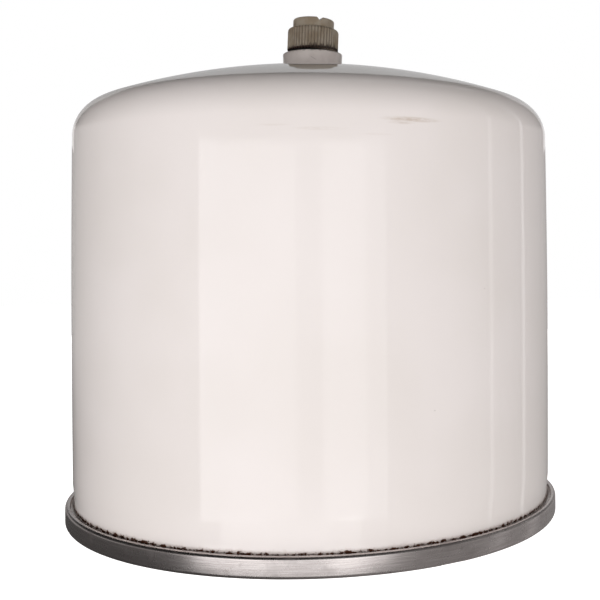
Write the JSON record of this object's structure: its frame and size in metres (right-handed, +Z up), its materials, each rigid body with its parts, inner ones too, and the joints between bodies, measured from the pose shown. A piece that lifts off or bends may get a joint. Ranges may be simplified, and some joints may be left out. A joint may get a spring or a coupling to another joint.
{
  "type": "expansion vessel",
  "caption": "Heating expansion vessel: white steel drum on a steel clamp ring, screw-capped gas valve on the crown, threaded water connection underneath.",
  "frame": {"origin": "centre of the water connection's end face, the lowest point of the vessel", "axes": "+Z up along the vessel's axis towards the gas valve; -Y towards the picture's viewpoint"},
  "size_m": [0.2524, 0.2524, 0.2926],
  "materials": {
    "white_enamel": "glossy white stoved enamel on drawn steel",
    "boss_enamel": "light grey-white enamel on a turned boss, worn and dusty",
    "ring_steel": "bright rolled steel strip, lightly stained",
    "diaphragm_rubber": "black moulded butyl rubber",
    "nipple_steel": "zinc plated turned steel",
    "guard_steel": "pressed steel sheet",
    "stem_brass": "turned brass",
    "core_brass": "turned brass, fine",
    "seal_rubber": "black nitrile rubber",
    "gasket_plastic": "red sealing plastic",
    "pin_steel": "drawn steel wire",
    "cap_plastic": "grey-brown moulded plastic, grimy at the foot of the ribs"
  },
  "bodies": {
    "vessel": {"gas_shell": "white_enamel", "water_shell": "white_enamel", "clamp_ring": "ring_steel", "water_nipple": "nipple_steel", "nipple_weld": "white_enamel", "inlet_guard": "guard_steel", "valve_boss": "boss_enamel", "valve_stem": "stem_brass", "stem_seal": "seal_rubber", "core_plug": "core_brass", "core_barrel": "core_brass", "core_gasket": "gasket_plastic"},
    "cap_ring": {"cap_o_ring": "seal_rubber"},
    "cap": {"valve_cap": "cap_plastic"},
    "core": {"core_pin": "pin_steel", "core_spring": "pin_steel", "core_cup": "core_brass", "core_washer": "seal_rubber"},
    "membrane": {"diaphragm": "diaphragm_rubber"}
  },
  "joints": [
    {"name": "cap_lift", "type": "slide", "parent": "vessel", "child": "cap_ring", "axis": [0, 0, 1], "range_m": [0, 0.008]},
    {"name": "cap_turn", "type": "hinge", "parent": "cap_ring", "child": "cap", "pos_m": [0, 0, 0.27518], "axis": [0, 0, 1], "range_deg": [0, 1440]},
    {"name": "core_press", "type": "slide", "parent": "vessel", "child": "core", "axis": [0, 0, -1], "range_m": [0, 0.0015], "stiffness_N_per_m": 2000, "springref_m": -0.0005, "deforming": ["core_spring"]},
    {"name": "diaphragm_rise", "type": "slide", "parent": "vessel", "child": "membrane", "axis": [0, 0, 1], "range_m": [0, 0.12], "deforming": ["diaphragm"]}
  ],
  "couplings": [
    {"joint": "cap_turn", "follows": "cap_lift", "rad_per_m": 3141.6}
  ]
}
